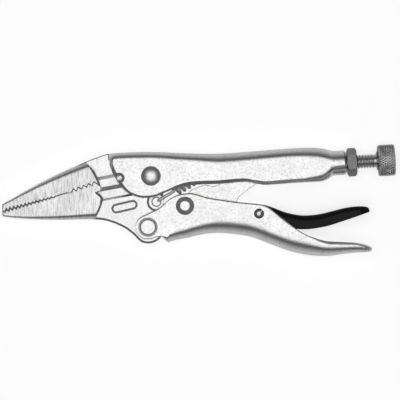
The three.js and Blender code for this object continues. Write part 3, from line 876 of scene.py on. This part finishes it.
class Nodes:
    """A material's node tree, built by short calls."""

    def __init__(self, name):
        self.material = bpy.data.materials.new(name)
        self.material.use_nodes = True
        self.tree = self.material.node_tree
        self.shader = self.tree.nodes["Principled BSDF"]
        self.place = self.add("ShaderNodeTexCoord").outputs["Object"]

    def add(self, kind, **values):
        node = self.tree.nodes.new(kind)
        for key, value in values.items():
            if key in node.inputs:
                node.inputs[key].default_value = value
            else:
                setattr(node, key, value)
        return node

    def link(self, source, target):
        self.tree.links.new(source, target)

    def stretched(self, scale, turn):
        """Texture places scaled along each axis and then turned about Z, in degrees."""
        mapping = self.add("ShaderNodeMapping")
        mapping.inputs["Scale"].default_value = scale
        mapping.inputs["Rotation"].default_value = (0, 0, math.radians(turn))
        self.link(self.place, mapping.inputs["Vector"])
        return mapping.outputs["Vector"]

    def noise(self, size, detail, vector=None):
        """Noise with grains about size millimetres across."""
        node = self.add("ShaderNodeTexNoise", Scale=1 / (size * MM), Detail=detail,
                        Roughness=0.6)
        self.link(self.place if vector is None else vector, node.inputs["Vector"])
        return node.outputs["Fac"]

    def spread(self, value, low, high, out_low, out_high):
        """The value from low to high, mapped to out_low to out_high and held past them."""
        node = self.add("ShaderNodeMapRange")
        for socket, number in zip(("From Min", "From Max", "To Min", "To Max"),
                                  (low, high, out_low, out_high)):
            node.inputs[socket].default_value = number
        self.link(value, node.inputs["Value"])
        return node.outputs["Result"]

    def mixed(self, factor, first, second):
        """A colour between two, each given as numbers or as another node's output."""
        node = self.tree.nodes.new("ShaderNodeMix")
        node.data_type = "RGBA"
        colours = [socket for socket in node.inputs if socket.type == "RGBA"]
        for socket, colour in zip(colours, (first, second)):
            if isinstance(colour, tuple):
                socket.default_value = (*colour, 1)
            else:
                self.link(colour, socket)
        self.link(factor, node.inputs["Factor"])
        return next(socket for socket in node.outputs if socket.type == "RGBA")

    def along(self, axis):
        """The object's own X, Y or Z, in metres."""
        node = self.add("ShaderNodeSeparateXYZ")
        self.link(self.place, node.inputs[0])
        return node.outputs[axis]

    def times(self, one, other):
        """The product of two outputs."""
        node = self.add("ShaderNodeMath", operation="MULTIPLY")
        self.link(one, node.inputs[0])
        self.link(other, node.inputs[1])
        return node.outputs["Value"]

    def bump(self, height, distance, before=None):
        """Relief of a height of distance millimetres, laid over another bump if one is given."""
        node = self.add("ShaderNodeBump", Strength=1, Distance=distance * MM)
        self.link(height, node.inputs["Height"])
        if before is not None:
            self.link(before, node.inputs["Normal"])
        self.drive("Normal", node.outputs["Normal"])

    def set(self, **values):
        """Sets the shader's own sockets, named with underscores in place of spaces."""
        for key, value in values.items():
            self.shader.inputs[key.replace("_", " ")].default_value = value

    def drive(self, socket, source):
        self.link(source, self.shader.inputs[socket])

    def driving(self, socket):
        """The output that drives one of the shader's sockets now."""
        return self.shader.inputs[socket].links[0].from_socket


def grey(level, blue=None):
    """A grey, or a slightly tinted one if its blue is given."""
    return level, level, level if blue is None else blue


def metal(name, light, dark, rough, grain, grain_depth, metallic=1.0):
    """Metal with a fine grain, a faint cloudy tone and small changes of gloss.

    light and dark are what grey() takes for the two ends of the colour, rough is the lowest and
    the highest roughness, and grain and grain_depth are the grain's size and relief in
    millimetres.
    """
    nodes = Nodes(name)
    nodes.set(Metallic=metallic)
    cloud = nodes.spread(nodes.noise(9, 2), 0.35, 0.65, 0.7, 1)
    fine = nodes.noise(grain, 4)
    speckle = nodes.spread(fine, 0.35, 0.52, 0.3, 1)
    nodes.drive("Base Color", nodes.mixed(nodes.times(cloud, speckle), grey(*dark), grey(*light)))
    smoothest, roughest = rough
    nodes.drive("Roughness", nodes.spread(fine, 0.3, 0.7, roughest, smoothest))
    nodes.bump(fine, grain_depth)
    return nodes


# What metal() takes for each slot that is a metal.
METALS = {
    "satin_plate": {"light": (0.95, 0.945), "dark": (0.66,), "rough": (0.28, 0.42),
                    "grain": 0.8, "grain_depth": 0.014},
    "ground_jaw": {"light": (0.95, 0.945), "dark": (0.64,), "rough": (0.28, 0.42),
                   "grain": 0.4, "grain_depth": 0.01},
    "bright_rivet": {"light": (0.96, 0.955), "dark": (0.74,), "rough": (0.3, 0.42),
                     "grain": 0.5, "grain_depth": 0.008},
    "roll_pin_steel": {"light": (0.12, 0.125), "dark": (0.06,), "rough": (0.3, 0.45),
                       "grain": 0.3, "grain_depth": 0.01},
    "spring_wire": {"light": (0.97,), "dark": (0.85,), "rough": (0.4, 0.5),
                    "grain": 0.3, "grain_depth": 0.004, "metallic": 0.6},
    "plated_screw": {"light": (0.68, 0.675), "dark": (0.42,), "rough": (0.28, 0.4),
                     "grain": 0.3, "grain_depth": 0.006},
    "black_oxide": {"light": (0.34, 0.345), "dark": (0.15,), "rough": (0.34, 0.5),
                    "grain": 0.35, "grain_depth": 0.012, "metallic": 0.7},
    "knurled_steel": {"light": (0.96, 0.955), "dark": (0.7,), "rough": (0.24, 0.36),
                      "grain": 0.3, "grain_depth": 0.003},
}


def grinding(nodes):
    """Adds coarse grinding marks that run across the noses and are faint on the flat bodies."""
    streak = nodes.noise(1, 3, nodes.stretched((2.6, 0.22, 0.22), 8))
    on_nose = nodes.spread(nodes.along("X"), -44 * MM, -47 * MM, 0.08, 1)
    marks = nodes.times(nodes.spread(streak, 0.48, 0.66, 0, 1), on_nose)
    nodes.bump(marks, 0.012, before=nodes.driving("Normal"))
    nodes.drive("Base Color", nodes.mixed(marks, nodes.driving("Base Color"), grey(0.55)))


def knurl_groove_painted_shade(nodes):
    """Paints shade into the knurl's grooves, which are found by their distance to the screw's
    axis.
    """
    mapping = nodes.add("ShaderNodeMapping")
    mapping.inputs["Rotation"].default_value = (0, 0, -math.atan2(SCREW_AXIS[1], SCREW_AXIS[0]))
    mapping.inputs["Location"].default_value = (0, -TUBE_END @ ACROSS_AXIS * MM, -MID * MM)
    nodes.link(nodes.place, mapping.inputs["Vector"])
    split = nodes.add("ShaderNodeSeparateXYZ")
    across = nodes.add("ShaderNodeCombineXYZ")
    nodes.link(mapping.outputs["Vector"], split.inputs[0])
    nodes.link(split.outputs["Y"], across.inputs["Y"])
    nodes.link(split.outputs["Z"], across.inputs["Z"])
    distance = nodes.add("ShaderNodeVectorMath", operation="LENGTH")
    nodes.link(across.outputs["Vector"], distance.inputs[0])
    unshaded = nodes.spread(distance.outputs["Value"], (HALF_STACK - 0.36) * MM,
                         (HALF_STACK - 0.14) * MM, 0, 1)
    # Painted shade: the colour in the knurl's grooves goes to dark grey, as if the grooves were in
    # shadow.
    nodes.drive("Base Color", nodes.mixed(unshaded, grey(0.3), nodes.driving("Base Color")))


def black_coat():
    """Gloss black coating with slight orange peel."""
    nodes = Nodes("black_coat")
    nodes.set(Metallic=0.0, IOR=1.45, Specular_IOR_Level=0.12, Coat_Weight=0.05,
              Coat_Roughness=0.15)
    peel = nodes.noise(1.3, 2)
    nodes.drive("Base Color", nodes.mixed(nodes.noise(0.4, 3), grey(0.006, 0.007),
                                          grey(0.02, 0.022)))
    nodes.drive("Roughness", nodes.spread(peel, 0.3, 0.7, 0.2, 0.34))
    nodes.bump(peel, 0.02)
    return nodes


def all_finishes():
    """Every material by its slot's name."""
    trees = {slot: metal(slot, **values) for slot, values in METALS.items()}
    grinding(trees["ground_jaw"])
    # Paints shade into the knurl's grooves.
    knurl_groove_painted_shade(trees["knurled_steel"])
    trees["black_coat"] = black_coat()
    return {slot: nodes.material for slot, nodes in trees.items()}


# ---------------------------------------------------------------- assembly

PIECES = [
    (upper_handle, "upper_handle", "upper_frame", "satin_plate"),
    (fixed_jaw, "fixed_jaw", "upper_frame", "ground_jaw"),
    (lower_jaw, "lower_jaw", "moving_jaw", "ground_jaw"),
    (lower_handle, "lower_handle", "grip", "satin_plate"),
    (toggle_link, "toggle_link", "link", "satin_plate"),
    (release_lever, "release_lever", "lever", "black_coat"),
    (lambda: rivet("jaw_pivot_rivet"), "jaw_pivot_rivet", "upper_frame", "bright_rivet"),
    (lambda: rivet("handle_pivot_rivet"), "handle_pivot_rivet", "grip", "bright_rivet"),
    (lambda: rivet("link_pivot_rivet"), "link_pivot_rivet", "grip", "bright_rivet"),
    (roll_pin, "lever_roll_pin", "grip", "roll_pin_steel"),
    (return_spring, "return_spring", None, "spring_wire"),
    (adjusting_screw, "adjusting_screw", "knob", "plated_screw"),
    (lock_nut, "lock_nut", "nut", "black_oxide"),
    (knurled_knob, "knurled_knob", "knob", "knurled_steel"),
]

finishes = all_finishes()
for build, node, body, slot in PIECES:
    piece = smooth(build())
    piece.data.materials.clear()
    piece.data.materials.append(finishes[slot])
    if body:
        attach(piece, body)
    else:
        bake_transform(piece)
    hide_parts(node)
for node in frame["nodes"].values():
    node.data.materials.clear()
    node.data.materials.append(finishes["satin_plate"])


# ---------------------------------------------------------------- floor, light and camera

FLOOR_GLOW = 0.67


def floor():
    """A pale sheet, which the metal does not mirror: it mirrors the studio below instead."""
    mesh = bpy.data.meshes.new("floor")
    reach = 6.0
    mesh.from_pydata([(-reach, -reach, 0), (reach, -reach, 0), (reach, reach, 0),
                      (-reach, reach, 0)], [], [(0, 1, 2, 3)])
    sheet = bpy.data.objects.new("floor", mesh)
    sheet.visible_glossy = False
    bpy.context.scene.collection.objects.link(sheet)
    nodes = Nodes("pale_floor")
    nodes.set(Roughness=0.9, Emission_Strength=FLOOR_GLOW, Emission_Color=(1, 1, 1, 1))
    nodes.drive("Base Color", nodes.mixed(nodes.noise(20, 2), grey(0.88), grey(0.9)))
    mesh.materials.append(nodes.material)


def softbox(name, place, target, side, power):
    """A square area light that faces its target, in metres and watts."""
    light = bpy.data.lights.new(name, "AREA")
    light.shape = "SQUARE"
    light.size = side
    light.energy = power
    lamp = bpy.data.objects.new(name, light)
    lamp.location = place
    lamp.rotation_euler = (Vector(target) - Vector(place)).to_track_quat("-Z", "Y").to_euler()
    bpy.context.scene.collection.objects.link(lamp)


def world(*stops):
    """A studio whose light depends only on height, from (z of the direction, level) stops."""
    scene_world = bpy.data.worlds.new("studio")
    scene_world.use_nodes = True
    tree = scene_world.node_tree
    direction = tree.nodes.new("ShaderNodeTexCoord").outputs["Generated"]
    split = tree.nodes.new("ShaderNodeSeparateXYZ")
    height = tree.nodes.new("ShaderNodeMapRange")
    height.inputs["From Min"].default_value = -1
    ramp = tree.nodes.new("ShaderNodeValToRGB")
    tree.links.new(direction, split.inputs[0])
    tree.links.new(split.outputs["Z"], height.inputs["Value"])
    tree.links.new(height.outputs["Result"], ramp.inputs["Fac"])
    tree.links.new(ramp.outputs["Color"], tree.nodes["Background"].inputs["Color"])
    elements = ramp.color_ramp.elements
    for z, level in stops[1:-1]:
        elements.new((z + 1) / 2)
    for element, (z, level) in zip(elements, stops):
        element.position = (z + 1) / 2
        element.color = (level, level, level, 1)
    bpy.context.scene.world = scene_world


def camera():
    """Straight above the tool's middle, with +Y up the picture.

    view_width is what the picture shows at cheek_level above the mid-plane, in millimetres.
    """
    view_width, above, cheek_level, middle_x = 180, 1500, 3, 0.56
    lens = bpy.data.cameras.new("camera")
    lens.sensor_width = 36
    lens.lens = lens.sensor_width * (above - cheek_level) / view_width
    eye = bpy.data.objects.new("camera", lens)
    eye.location = np.array([middle_x, 0, MID + above]) * MM
    bpy.context.scene.collection.objects.link(eye)
    bpy.context.scene.camera = eye


floor()
softbox("overhead", place=(0, 0, 1.7), target=(0, 0, 0), side=1.6, power=9.6)
# Bright below, mid grey at the sides and a dark band above, which the slopes beside a flat mirror.
world((-1, 0.55), (-0.1, 0.55), (0.05, 0.36), (0.42, 0.3), (0.52, 0.01), (0.88, 0.01), (1, 0.1))
camera()
bpy.context.scene.view_settings.view_transform = "Standard"
